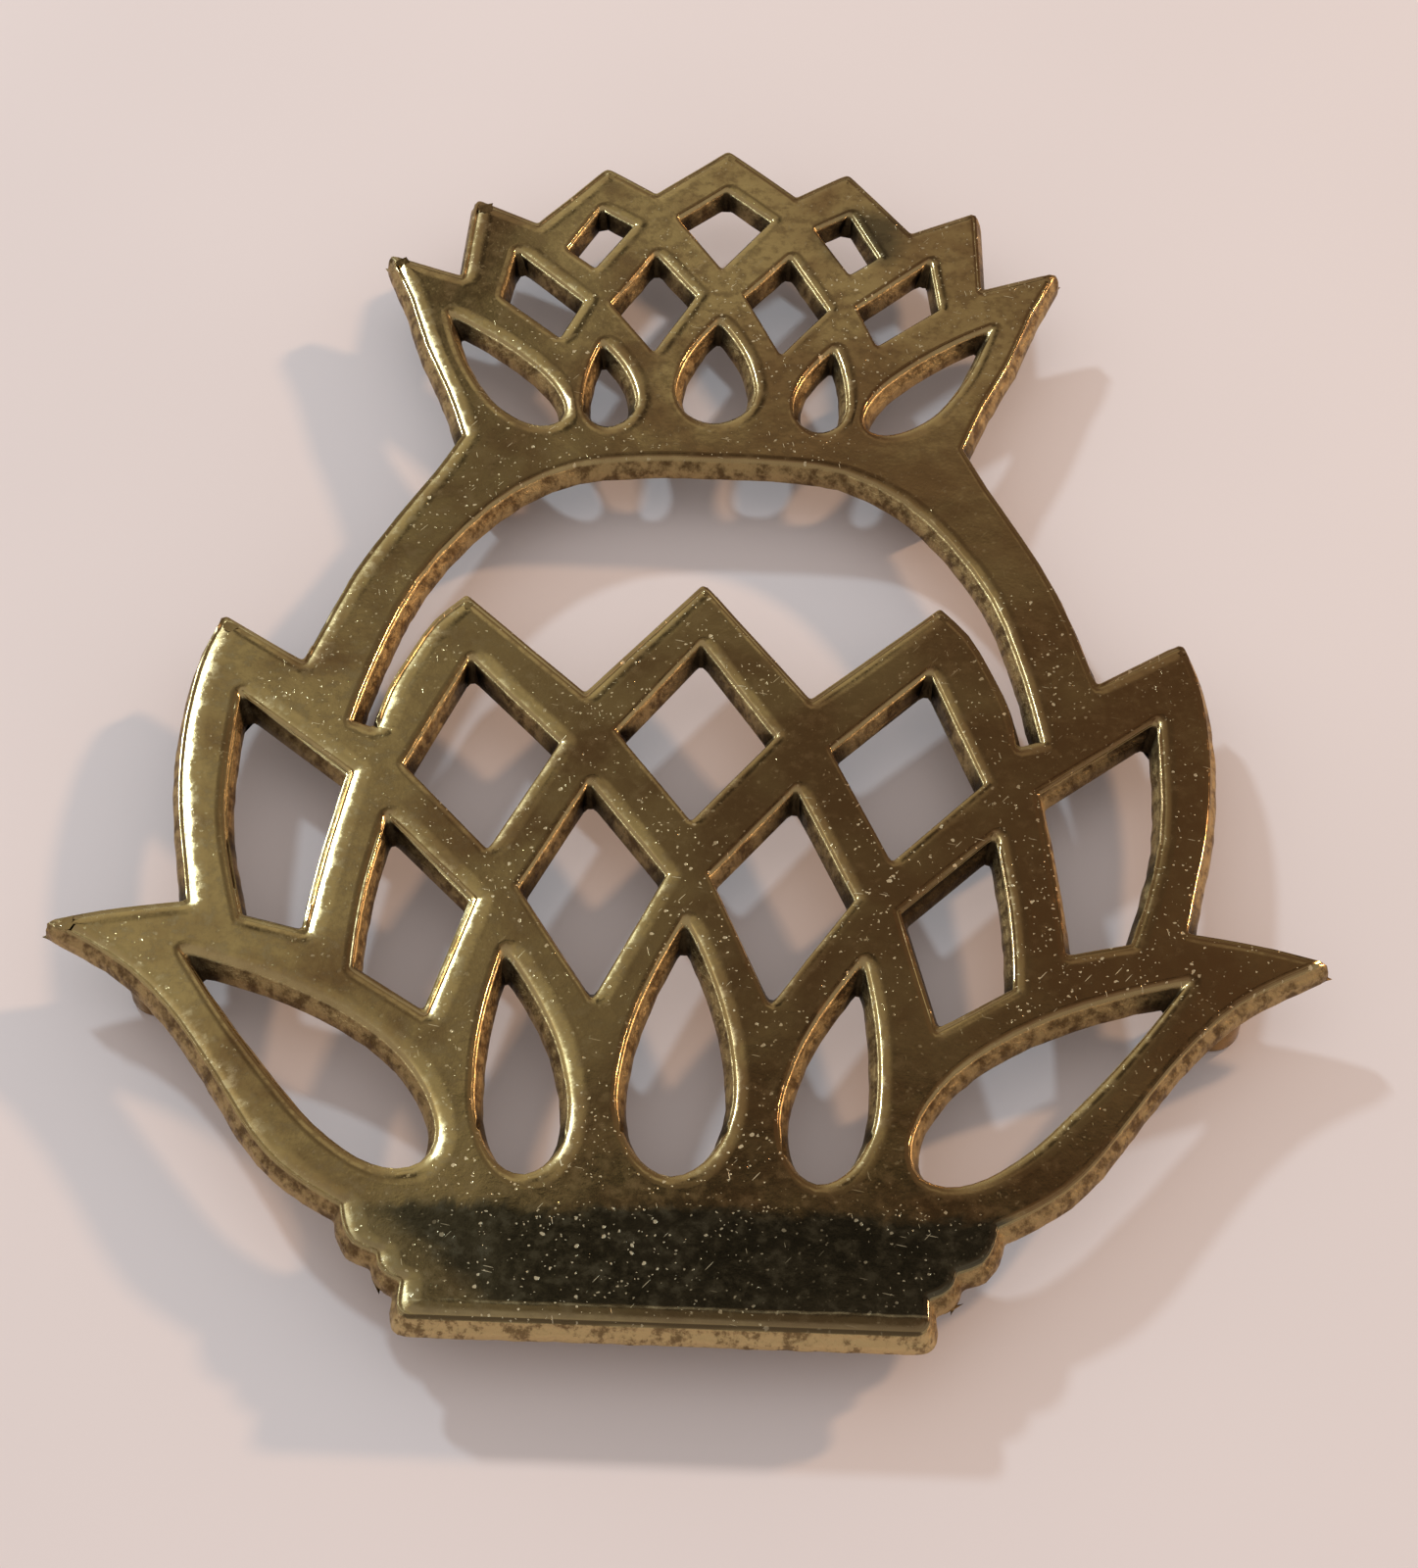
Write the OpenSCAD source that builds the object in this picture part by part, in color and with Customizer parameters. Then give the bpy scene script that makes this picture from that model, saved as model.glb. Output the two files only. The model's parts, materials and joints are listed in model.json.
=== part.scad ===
// Openwork pineapple trivet: one brass casting that stands on four peg feet.
// Millimetres, +Z up, crown toward +Y. The origin is at the middle of the
// footprint, on the surface that the feet stand on.

/* [Casting] */
// Length of the top face, from the foot of the base to the middle crown point
plate_l = 242.3; // [200:0.1:300]
// Width of the top face across the points of the lower leaves
plate_w = 186; // [150:0.5:230]
// Thickness of the casting
plate_t = 4; // [3:0.1:6]
// Radius of the rounded edge round the top face
edge_r = 1; // [0.6:0.05:1.4]
// Lean of the cast walls, which spread toward the underside
draft_deg = 12; // [6:0.5:16]
// Width of the lattice bars between the diamond windows
bar_w = 6.6; // [5.4:0.1:8]
// Rounding of the corners at the top face
corner_top_r = 0.6; // [0.3:0.05:1]
// Rounding of the corners at the underside
corner_low_r = 1.3; // [0.8:0.05:2]

/* [Feet] */
// Free height of a foot, from the surface to the underside of the casting
foot_h = 10; // [6:0.5:20]
// Diameter of a foot where it stands
foot_d = 9; // [7:0.1:10]
// Diameter of a foot where it is brazed to the casting
foot_top_d = 9.6; // [7:0.1:10.4]
// Rounding of the standing edge of a foot
foot_edge_r = 0.8; // [0.3:0.05:1.5]

/* [Hidden] */
$fn = 48;

// How far a cutter runs past the face that it cuts
overrun = 1;
// Steps along each arc of a rounded corner
corner_steps = 3;
// Steps along each stretch of a curved edge
curve_steps = 2;
// Steps up the rounded top edge
edge_steps = 2;

half_w = plate_w / 2;
top_z = foot_h + plate_t;

// Where the feet stand, in shares of half_w and of plate_l
leaf_foot_shares = [0.839, 0.257];
crown_foot_shares = [0.392, 0.691];

// Outline of the right half, from the middle crown point down to the base.
// Each point holds an x share of half_w, a y share of plate_l and a 1 where
// the edge turns a corner, or a 0 where it runs on smoothly.
outline_shares = [
    [0, 1, 1],
    [0.133, 0.950, 1],
    [0.229, 0.977, 1],
    [0.350, 0.914, 1],
    [0.469, 0.938, 1],
    [0.477, 0.855, 1],
    [0.615, 0.876, 1],
    [0.569, 0.834, 0],
    [0.528, 0.785, 0],
    [0.481, 0.742, 0],
    [0.441, 0.697, 1],
    [0.483, 0.660, 0],
    [0.542, 0.615, 0],
    [0.601, 0.563, 0],
    [0.641, 0.512, 0],
    [0.664, 0.482, 1],
    [0.812, 0.521, 1],
    [0.831, 0.495, 0],
    [0.843, 0.457, 0],
    [0.845, 0.416, 0],
    [0.837, 0.379, 0],
    [0.822, 0.344, 0],
    [0.805, 0.313, 0],
    [0.790, 0.285, 1],
    [0.865, 0.280, 0],
    [0.928, 0.275, 0],
    [1, 0.267, 1],
    [0.941, 0.255, 0],
    [0.865, 0.235, 0],
    [0.797, 0.208, 0],
    [0.749, 0.184, 0],
    [0.678, 0.143, 0],
    [0.638, 0.120, 0],
    [0.590, 0.099, 0],
    [0.542, 0.085, 0],
    [0.486, 0.072, 1],
    [0.478, 0.059, 0],
    [0.462, 0.048, 0],
    [0.424, 0.041, 1],
    [0.418, 0.033, 0],
    [0.404, 0.027, 0],
    [0.383, 0.023, 1],
    [0.386, 0, 1]
];

// Edge of the large window under the arch, right half, from the top of the
// arch down into the slot, then round the two lattice peaks
arch_shares = [
    [0, 0.682, 0],
    [0.129, 0.681, 0],
    [0.237, 0.674, 0],
    [0.340, 0.649, 0],
    [0.422, 0.611, 0],
    [0.495, 0.560, 0],
    [0.535, 0.511, 0],
    [0.560, 0.468, 0],
    [0.575, 0.435, 1],
    [0.529, 0.428, 1],
    [0.512, 0.464, 0],
    [0.483, 0.495, 0],
    [0.449, 0.524, 0],
    [0.405, 0.545, 1],
    [0.188, 0.462, 1],
    [0, 0.561, 1]
];

// Corners of the lattice cells, at the middle of the bars round each window.
// The first list holds the windows on the centre line, the second those on
// the right, which are also set out on the left.
centre_cell_shares = [
    [[0, 0.981, 1], [0.137, 0.930, 1], [0, 0.848, 1], [-0.137, 0.930, 1]],
    [[0, 0.540, 1], [0.177, 0.434, 1], [0, 0.338, 1], [-0.177, 0.434, 1]]
];
side_cell_shares = [
    [[0.251, 0.959, 1], [0.337, 0.887, 1], [0.227, 0.849, 1], [0.122, 0.924, 1]],
    [[0.131, 0.918, 1], [0.243, 0.833, 1], [0.110, 0.757, 1], [0.002, 0.848, 1]],
    [[0.415, 0.921, 1], [0.444, 0.833, 1], [0.275, 0.773, 1], [0.209, 0.841, 1]],
    [[0.402, 0.522, 1], [0.519, 0.398, 1], [0.315, 0.309, 1], [0.180, 0.427, 1]],
    [[0.178, 0.422, 1], [0.311, 0.305, 1], [0.133, 0.190, 1], [-0.008, 0.322, 1]]
];

// Windows with a curved side: the last window of the lattice and the one in
// the side leaf
side_window_shares = [
    [
        [0.496, 0.363, 1], [0.508, 0.332, 0], [0.517, 0.301, 0], [0.522, 0.267, 0],
        [0.522, 0.239, 1], [0.394, 0.205, 1], [0.335, 0.296, 1]
    ],
    [
        [0.769, 0.461, 1], [0.770, 0.408, 0], [0.763, 0.358, 0], [0.740, 0.317, 0],
        [0.709, 0.275, 1], [0.598, 0.264, 1], [0.589, 0.305, 0], [0.577, 0.346, 0],
        [0.559, 0.394, 1]
    ]
];

// Drop-shaped windows: x and y shares of the round end, x and y shares of the
// point, then the half width and the bow to the left as shares of half_w
centre_drop_shares = [
    [0, 0.096, 0, 0.289, 0.092, 0],
    [0, 0.714, 0, 0.823, 0.075, 0]
];
side_drop_shares = [
    [0.218, 0.094, 0.285, 0.262, 0.075, 0.006],
    [0.372, 0.101, 0.799, 0.252, 0.094, 0.022],
    [0.187, 0.708, 0.212, 0.798, 0.051, 0.006],
    [0.280, 0.710, 0.504, 0.823, 0.062, -0.004]
];
// Side of a drop from its round end to its point: share of the length, then
// share of the half width
drop_side_shares = [
    [0.03, 0.42],
    [0.09, 0.70],
    [0.18, 0.90],
    [0.30, 1],
    [0.44, 0.95],
    [0.58, 0.82],
    [0.72, 0.61],
    [0.86, 0.33]
];

// Plane geometry
function unit(v) = v / norm(v);
function flat(q) = [q.x, q.y];
function nth(p, i) = p[(i + len(p)) % len(p)];
function reversed(p) = [for (i = [len(p) - 1 : -1 : 0]) p[i]];
function area_sum(p, i = 0) = i == len(p) ? 0 :
    p[i].x * nth(p, i + 1).y - nth(p, i + 1).x * p[i].y + area_sum(p, i + 1);
// The loop turned anticlockwise
function ccw(p) = area_sum(p) < 0 ? reversed(p) : p;
function placed(p) = [for (q = p) [q.x * half_w, q.y * plate_l, q[2]]];
function mirrored(p) = [for (q = p) [-q.x, q.y, q[2]]];
// Both halves of a loop given from the centre line round its right side
function both_halves(p) = concat(p, reversed([for (q = mirrored(p)) if (q.x != 0) q]));

// Step outward at corner i that moves both of its edges by one unit
function mitre(p, i) = let(
    a = unit(flat(p[i]) - flat(nth(p, i - 1))),
    b = unit(flat(nth(p, i + 1)) - flat(p[i])),
    na = [a.y, -a.x],
    nb = [b.y, -b.x]
) (na + nb) / (1 + na * nb);
// The anticlockwise loop grown outward by d
function grown(p, d) = [
    for (i = [0 : len(p) - 1]) let(m = mitre(p, i)) [p[i].x + d * m.x, p[i].y + d * m.y, p[i][2]]
];

// Length that a rounding of radius r takes off each edge at corner i
function cut_back(p, i, r) = let(
    v = flat(nth(p, i - 1)) - flat(p[i]),
    w = flat(nth(p, i + 1)) - flat(p[i]),
    half_angle = acos(max(-1, min(1, unit(v) * unit(w)))) / 2,
    limit_share = 0.4
) min(r / tan(half_angle), limit_share * norm(v), limit_share * norm(w));
// The point of corner i where its rounding begins or ends
function corner_start(p, i, r) = flat(p[i]) + cut_back(p, i, r) * unit(flat(nth(p, i - 1)) - flat(p[i]));
function corner_end(p, i, r) = flat(p[i]) + cut_back(p, i, r) * unit(flat(nth(p, i + 1)) - flat(p[i]));
function entry(p, i, r) = nth(p, i)[2] == 1 ? corner_start(p, (i + len(p)) % len(p), r) : flat(nth(p, i));
function exit(p, i, r) = nth(p, i)[2] == 1 ? corner_end(p, (i + len(p)) % len(p), r) : flat(nth(p, i));
// Direction of the edge where it runs smoothly through point i
function heading(p, i) = let(
    v = flat(nth(p, i)) - flat(nth(p, i - 1)),
    w = flat(nth(p, i + 1)) - flat(nth(p, i))
) unit(norm(w) * unit(v) + norm(v) * unit(w));
// A point on the curve from a to b that leaves along u and arrives along v
function curve_point(a, b, u, v, t) = let(s = norm(b - a))
    (1 + 2 * t) * (1 - t) * (1 - t) * a + t * (1 - t) * (1 - t) * s * u
    + t * t * (3 - 2 * t) * b + t * t * (t - 1) * s * v;
// The loop with its corners rounded by r and its smooth stretches curved
function drawn(p, r) = [
    for (i = [0 : len(p) - 1]) let(
        e0 = entry(p, i, r),
        e1 = exit(p, i, r),
        e2 = entry(p, i + 1, r),
        straight = p[i][2] == 1 && nth(p, i + 1)[2] == 1,
        chord = unit(e2 - e1),
        u = p[i][2] == 1 ? chord : heading(p, i),
        v = nth(p, i + 1)[2] == 1 ? chord : heading(p, i + 1)
    ) each concat(
        p[i][2] == 0 ? [e1] : [
            for (k = [0 : corner_steps]) let(t = k / corner_steps)
                (1 - t) * (1 - t) * e0 + 2 * t * (1 - t) * flat(p[i]) + t * t * e1
        ],
        straight ? [] : [for (k = [1 : 1 : curve_steps - 1]) curve_point(e1, e2, u, v, k / curve_steps)]
    )
];

// A drop-shaped loop drawn in by d all round
function drop_loop(q, d) = let(
    a0 = [q[0] * half_w, q[1] * plate_l],
    b0 = [q[2] * half_w, q[3] * plate_l],
    w0 = q[4] * half_w,
    ax = unit(b0 - a0),
    side = [-ax.y, ax.x],
    last_share = drop_side_shares[len(drop_side_shares) - 1],
    tip_angle = atan(last_share[1] * w0 / ((1 - last_share[0]) * norm(b0 - a0))),
    a = a0 + d * ax,
    b = b0 - d / sin(tip_angle) * ax,
    w = w0 - d,
    l = norm(b - a),
    bow = q[5] * half_w
) concat(
    [[a.x, a.y, 0]],
    [for (s = drop_side_shares) let(
        m = a + s[0] * l * ax - (s[1] * w - bow * sin(180 * s[0])) * side
    ) [m.x, m.y, 0]],
    [[b.x, b.y, 1]],
    [for (s = reversed(drop_side_shares)) let(
        m = a + s[0] * l * ax + (s[1] * w + bow * sin(180 * s[0])) * side
    ) [m.x, m.y, 0]]
);

// The profile of every wall, from the top face down: how far the wall has
// spread, and its height. The rounded edge runs on into the leaning wall.
edge_sweep = 90 - draft_deg;
edge_profile = [
    for (k = [0 : edge_steps]) let(t = edge_sweep * k / edge_steps)
        [edge_r * sin(t), top_z - edge_r * (1 - cos(t))]
];
edge_end = edge_profile[edge_steps];
wall_spread = edge_end[0] + (edge_end[1] - foot_h) * tan(draft_deg);
wall_profile = concat(edge_profile, [[wall_spread, foot_h]]);
// Corner rounding at each height of the profile
function corner_at(z) = corner_low_r + (corner_top_r - corner_low_r) * (z - foot_h) / plate_t;

outline = ccw(placed(both_halves(outline_shares)));
// The footprint is centred on the origin
low_outline = drawn(grown(outline, wall_spread), corner_low_r);
low_ys = [for (q = low_outline) q.y];
centre_y = (max(low_ys) + min(low_ys)) / 2;

// A solid through a stack of rings, each [points, height], from the top down
module ring_stack(rings) {
    n = len(rings[0][0]);
    last = len(rings) - 1;
    points = [for (g = rings) each [for (q = g[0]) [q.x, q.y - centre_y, g[1]]]];
    sides = [
        for (k = [0 : last - 1], i = [0 : n - 1]) let(j = (i + 1) % n)
            each [[k * n + i, k * n + j, (k + 1) * n + i], [k * n + j, (k + 1) * n + j, (k + 1) * n + i]]
    ];
    top = [for (i = [n - 1 : -1 : 0]) i];
    bottom = [for (i = [0 : n - 1]) last * n + i];
    polyhedron(points, concat([top], sides, [bottom]));
}

// The rings of a window, which narrows toward the underside, with an overrun
// past both faces
function window_rings(loops) = concat(
    [[loops[0], top_z + overrun]],
    [for (k = [0 : len(loops) - 1]) [loops[k], wall_profile[k][1]]],
    [[loops[len(loops) - 1], foot_h - overrun]]
);

// A window given by its loop at the top face, drawn in by inset
module window(loop, inset) {
    p = ccw(placed(loop));
    ring_stack(window_rings([for (w = wall_profile) drawn(grown(p, -inset - w[0]), corner_at(w[1]))]));
}

// A window of the lattice fills its cell up to the bars
module cell_window(cell) {
    hull() window(cell, bar_w / 2);
}

module drop_window(q) {
    ring_stack(window_rings([for (w = wall_profile) drawn(ccw(drop_loop(q, w[0])), corner_at(w[1]))]));
}

function mirrored_drop(q) = [-q[0], q[1], -q[2], q[3], q[4], -q[5]];

module trivet_plate() {
    color("darkgoldenrod")
    difference() {
        ring_stack([for (w = wall_profile) [drawn(grown(outline, w[0]), corner_at(w[1])), w[1]]]);
        window(both_halves(arch_shares), 0);
        for (c = centre_cell_shares) cell_window(c);
        for (c = side_cell_shares) {
            cell_window(c);
            cell_window(mirrored(c));
        }
        for (c = side_window_shares) {
            window(c, 0);
            window(mirrored(c), 0);
        }
        for (q = centre_drop_shares) drop_window(q);
        for (q = side_drop_shares) {
            drop_window(q);
            drop_window(mirrored_drop(q));
        }
    }
}

// Turned peg foot, brazed by its flat top to the underside of the casting
module peg_foot(shares, side) {
    color("goldenrod")
    translate([side * shares[0] * half_w, shares[1] * plate_l - centre_y, 0])
    rotate_extrude()
        union() {
            difference() {
                polygon([
                    [0, 0],
                    [foot_d / 2, 0],
                    [foot_top_d / 2, foot_h],
                    [0, foot_h]
                ]);
                translate([foot_d / 2 - foot_edge_r, -overrun])
                    square([foot_edge_r + overrun, foot_edge_r + overrun]);
            }
            translate([foot_d / 2 - foot_edge_r, foot_edge_r])
                intersection() {
                    circle(r = foot_edge_r);
                    translate([-foot_edge_r, -foot_edge_r])
                        square([2 * foot_edge_r, foot_edge_r]);
                }
        }
}

module foot_leaf_right() {
    peg_foot(leaf_foot_shares, 1);
}

module foot_leaf_left() {
    peg_foot(leaf_foot_shares, -1);
}

module foot_crown_right() {
    peg_foot(crown_foot_shares, 1);
}

module foot_crown_left() {
    peg_foot(crown_foot_shares, -1);
}

trivet_plate();
foot_leaf_right();
foot_leaf_left();
foot_crown_right();
foot_crown_left();
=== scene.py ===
"""Looks of an openwork pineapple trivet: a polished brass casting on four turned feet."""

import json
from math import radians

import bmesh
import bpy
import numpy as np
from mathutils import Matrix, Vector, noise

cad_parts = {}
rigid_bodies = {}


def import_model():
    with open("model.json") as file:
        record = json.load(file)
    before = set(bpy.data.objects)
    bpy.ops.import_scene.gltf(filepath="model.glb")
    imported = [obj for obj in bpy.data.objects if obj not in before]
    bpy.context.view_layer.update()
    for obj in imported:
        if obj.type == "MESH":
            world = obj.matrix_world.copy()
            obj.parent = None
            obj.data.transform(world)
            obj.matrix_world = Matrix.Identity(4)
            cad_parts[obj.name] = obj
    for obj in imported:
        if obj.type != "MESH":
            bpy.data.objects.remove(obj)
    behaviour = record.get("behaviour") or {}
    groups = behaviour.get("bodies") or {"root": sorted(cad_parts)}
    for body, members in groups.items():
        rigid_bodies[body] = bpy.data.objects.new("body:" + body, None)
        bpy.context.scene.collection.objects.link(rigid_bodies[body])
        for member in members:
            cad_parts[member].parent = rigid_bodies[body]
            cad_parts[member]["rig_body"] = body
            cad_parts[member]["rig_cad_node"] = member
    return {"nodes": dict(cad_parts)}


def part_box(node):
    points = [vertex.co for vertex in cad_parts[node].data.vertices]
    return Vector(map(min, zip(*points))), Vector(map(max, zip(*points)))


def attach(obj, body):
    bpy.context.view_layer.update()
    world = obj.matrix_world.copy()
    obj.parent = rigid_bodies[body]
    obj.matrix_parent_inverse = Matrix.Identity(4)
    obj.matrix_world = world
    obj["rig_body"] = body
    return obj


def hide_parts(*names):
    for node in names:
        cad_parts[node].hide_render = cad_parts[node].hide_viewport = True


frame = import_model()

bl_info = {
    "name": "Pineapple trivet",
    "version": (1, 0, 0),
    "blender": (4, 5, 0),
    "location": "3D View > Sidebar > Trivet",
    "description": "Builds an openwork brass trivet, its turned feet and a plain stage",
    "category": "Object",
}

FEET = ["foot_leaf_right", "foot_leaf_left", "foot_crown_right", "foot_crown_left"]
MM = 0.001
CASTING_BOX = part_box("trivet_plate")
TOP_Z = CASTING_BOX[1].z
LOW_Z = CASTING_BOX[0].z
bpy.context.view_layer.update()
# marks on the buffed face: turn in degrees, cell scale, share of cells with a mark, size in a cell
FLECKS = [
    (0, (1700, 1700, 60), 0.30, 0.30),
    (35, (1000, 820, 60), 0.18, 0.30),
    (-15, (520, 640, 60), 0.09, 0.22),
    (12, (260, 3600, 60), 0.03, 0.26),
    (78, (320, 3200, 60), 0.03, 0.26),
    (-52, (260, 3800, 60), 0.03, 0.26),
]
# cells finer than this hold scratches, which stay straight
FINE_SCALE = 2000
# how far below the face the two rings of the solid's rounded edge lie
EDGE_RINGS = (0.223 * MM, 0.792 * MM)
# heights this close are the same
SAME = 0.01 * MM
# a face that looks straight down belongs to the underside
UNDERSIDE = -0.99
# how far above the underside the walls are cut once more
WALL_CUTS = (1.1 * MM, 1.9 * MM)
# the longest wall face along the outline
WALL_FACE = 2.2 * MM
# a tip has turned within this stride, its wall faces are finer this close to it,
# it is rounded as far as this, and no corner that gets painted shade is looked for as close as
# this
TIP_STRIDE = 1.2 * MM
TIP_FINE = 2.5 * MM
TIP_REACH = 3.5 * MM
TIP_CLEAN = 5 * MM
# the base's front is straight as far as this on both sides, its corners end as high as this,
# and its mouldings as high as this
BASE_STRAIGHT = 38 * MM
BASE_CORNERS = 6 * MM
BASE_MOULDINGS = 20 * MM
# how much narrower a foot's radius is where it stands, and the insets of its turned dish
FOOT_TAPER = 0.3 * MM
DISH_INSETS = [(0.9 * MM, 0), (0.4 * MM, -0.15 * MM), (1.2 * MM, -0.25 * MM)]
# the groove under the braze: its place below the foot's top, its cuts and its share of the radius
GROOVE_AT = 1.25 * MM
FOOT_CUTS = (1.0 * MM, GROOVE_AT, 1.5 * MM, 8.2 * MM)
GROOVE_SHARE = 0.965
# a margin takes this share of a bar's width at most
MOST_OF_BAR = 0.36
# a length or a turn smaller than this counts as none
NONE = 1e-9
# the visual stays this far inside the solid's box
INSIDE = 0.05 * MM
FLOOR_SIZE = 24.0
LAMP_DISTANCE = 3.0
LAMP_SIZE = 0.24


# ---------------------------------------------------------------- settings
class CastingSettings(bpy.types.PropertyGroup):
    """Sizes and colours of the brass casting."""

    roll_widths: bpy.props.FloatVectorProperty(
        name="Buffed margins",
        description="Widths of the margins where the buffed face rolls off, from the edge inward",
        default=(0.40 * MM, 0.60 * MM, 0.9 * MM, 1.2 * MM),
        size=4,
        unit="LENGTH",
    )
    roll_drops: bpy.props.FloatVectorProperty(
        name="Roll-off",
        description="How far the face has dropped at the outer side of each margin",
        default=(0.42 * MM, 0.31 * MM, 0.17 * MM, 0.05 * MM),
        size=4,
        unit="LENGTH",
    )
    ring_drops: bpy.props.FloatVectorProperty(
        name="Softer edge",
        description="How far buffing has lowered the two rings of the rounded edge",
        default=(0.75 * MM, 0.90 * MM),
        size=2,
        subtype="XYZ_LENGTH",
        unit="LENGTH",
    )
    ring_shifts: bpy.props.FloatVectorProperty(
        name="Steeper edge",
        description="How far the same two rings have moved in under the face",
        default=(0.25 * MM, 0.15 * MM),
        size=2,
        subtype="XYZ_LENGTH",
        unit="LENGTH",
    )
    front_strip: bpy.props.FloatProperty(
        name="Front strip",
        description="Width of the strip that falls away along the foot of the base",
        default=3.7 * MM,
        subtype="DISTANCE",
        unit="LENGTH",
    )
    front_drop: bpy.props.FloatProperty(
        name="Front drop",
        description="How far that strip has dropped at its edge",
        default=0.22 * MM,
        subtype="DISTANCE",
        unit="LENGTH",
    )
    corner: bpy.props.FloatProperty(
        name="Base corners",
        description="Rounding of the two front corners of the base",
        default=2.4 * MM,
        subtype="DISTANCE",
        unit="LENGTH",
    )
    lumps: bpy.props.FloatProperty(
        name="Lumps",
        description="How uneven the cast walls are",
        default=0.17 * MM,
        subtype="DISTANCE",
        unit="LENGTH",
    )
    low_edge: bpy.props.FloatProperty(
        name="Lower edge",
        description="Rounding of the edge round the underside",
        default=0.7 * MM,
        subtype="DISTANCE",
        unit="LENGTH",
    )
    polish: bpy.props.FloatVectorProperty(
        name="Polished brass",
        description="Colour of the buffed face and edges",
        default=(0.52, 0.39, 0.19),
        subtype="COLOR",
    )
    patina: bpy.props.FloatVectorProperty(
        name="Patina",
        description="Colour of the browned areas of the face",
        default=(0.28, 0.175, 0.085),
        subtype="COLOR",
    )
    cast_skin: bpy.props.FloatVectorProperty(
        name="Cast skin",
        description="Colour of the rough cast walls",
        default=(0.46, 0.32, 0.15),
        subtype="COLOR",
    )


class FootSettings(bpy.types.PropertyGroup):
    """Sizes and colour of the turned feet."""

    edge: bpy.props.FloatProperty(
        name="Standing edge",
        description="Rounding of the edge that a foot stands on",
        default=0.8 * MM,
        subtype="DISTANCE",
        unit="LENGTH",
    )
    brass: bpy.props.FloatVectorProperty(
        name="Turned brass",
        description="Colour of the turned feet",
        default=(0.36, 0.23, 0.095),
        subtype="COLOR",
    )


class StageSettings(bpy.types.PropertyGroup):
    """Floor, lamps and sky."""

    floor_colour: bpy.props.FloatVectorProperty(
        name="Floor",
        description="Colour of the floor",
        default=(0.70, 0.61, 0.59),
        subtype="COLOR",
    )
    cool_power: bpy.props.FloatProperty(
        name="Cool lamp",
        description="Power of the cool lamp behind the crown on the left",
        default=31.0,
        unit="POWER",
    )
    warm_power: bpy.props.FloatProperty(
        name="Warm lamp",
        description="Power of the warm lamp behind the crown on the right",
        default=39.0,
        unit="POWER",
    )
    sky_strength: bpy.props.FloatProperty(
        name="Sky",
        description="Strength of the soft light from all round",
        default=0.69,
    )


# ---------------------------------------------------------------- node helpers
class Shader:
    """Adds nodes to a material or world from left to right, and links them."""

    def __init__(self, owner):
        owner.use_nodes = True
        self.tree = owner.node_tree
        self.tree.nodes.clear()
        self.count = 0

    def add(self, kind, sockets=None, **settings):
        node = self.tree.nodes.new(kind)
        node.location = (220 * (self.count // 4), -260 * (self.count % 4))
        self.count += 1
        for name, value in settings.items():
            setattr(node, name, value)
        for name, value in (sockets or {}).items():
            if isinstance(value, bpy.types.NodeSocket):
                self.tree.links.new(value, node.inputs[name])
            else:
                node.inputs[name].default_value = value
        return node

    def math(self, operation, a, b=0.0, c=0.0):
        return self.add("ShaderNodeMath", {0: a, 1: b, 2: c}, operation=operation).outputs[0]

    def vector(self, operation, a, b, output=0):
        return self.add("ShaderNodeVectorMath", {0: a, 1: b}, operation=operation).outputs[output]

    def ramp(self, value, low, high, out_low=0.0, out_high=1.0, smooth=True):
        node = self.add(
            "ShaderNodeMapRange",
            {
                "Value": value,
                "From Min": low,
                "From Max": high,
                "To Min": out_low,
                "To Max": out_high,
            },
            interpolation_type="SMOOTHSTEP" if smooth else "LINEAR",
        )
        return node.outputs[0]

    def between(self, lower, upper, fade_in, fade_out):
        fading = self.ramp(upper, *fade_out, 1.0, 0.0)
        return self.math("MULTIPLY", self.ramp(lower, *fade_in), fading)

    def mix(self, share, a, b):
        node = self.add("ShaderNodeMix", data_type="RGBA")
        for index, value in ((0, share), (6, a), (7, b)):
            if isinstance(value, bpy.types.NodeSocket):
                self.tree.links.new(value, node.inputs[index])
            elif index:
                node.inputs[index].default_value = (*value, 1.0)
            else:
                node.inputs[index].default_value = value
        return node.outputs[2]

    def noise(self, vector, scale, detail=2.0, rough=0.5, distortion=0.0):
        node = self.add(
            "ShaderNodeTexNoise",
            {
                "Vector": vector,
                "Scale": scale,
                "Detail": detail,
                "Roughness": rough,
                "Distortion": distortion,
            },
        )
        return node.outputs[0]

    def mapping(self, vector, place=(0, 0, 0), turn=(0, 0, 0), scale=(1, 1, 1)):
        sockets = {"Vector": vector, "Location": place, "Rotation": turn, "Scale": scale}
        return self.add("ShaderNodeMapping", sockets).outputs[0]

    def bump(self, height, distance, strength=1.0, normal=None):
        sockets = {"Height": height, "Distance": distance, "Strength": strength}
        if normal:
            sockets["Normal"] = normal
        return self.add("ShaderNodeBump", sockets).outputs[0]


def flecks(s, at, turn, scale, share, size, offset):
    """Separate small marks: a few of the cells of a stretched cell pattern, each with one mark."""
    turned = s.mapping(at, turn=(0, 0, radians(turn)))
    cell = s.add(
        "ShaderNodeTexVoronoi",
        {"Vector": s.mapping(turned, offset, scale=scale), "Scale": 1.0, "Randomness": 1.0},
    )
    pick = s.add("ShaderNodeSeparateColor", {0: cell.outputs["Color"]}).outputs
    reach = s.math("MULTIPLY_ADD", pick[1], 0.7 * size, 0.3 * size)
    inside = s.ramp(s.math("SUBTRACT", reach, cell.outputs["Distance"]), -0.02, 0.04)
    return s.math("MULTIPLY", inside, s.ramp(pick[0], 1.0 - share, 1.0 - 0.9 * share))


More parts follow.
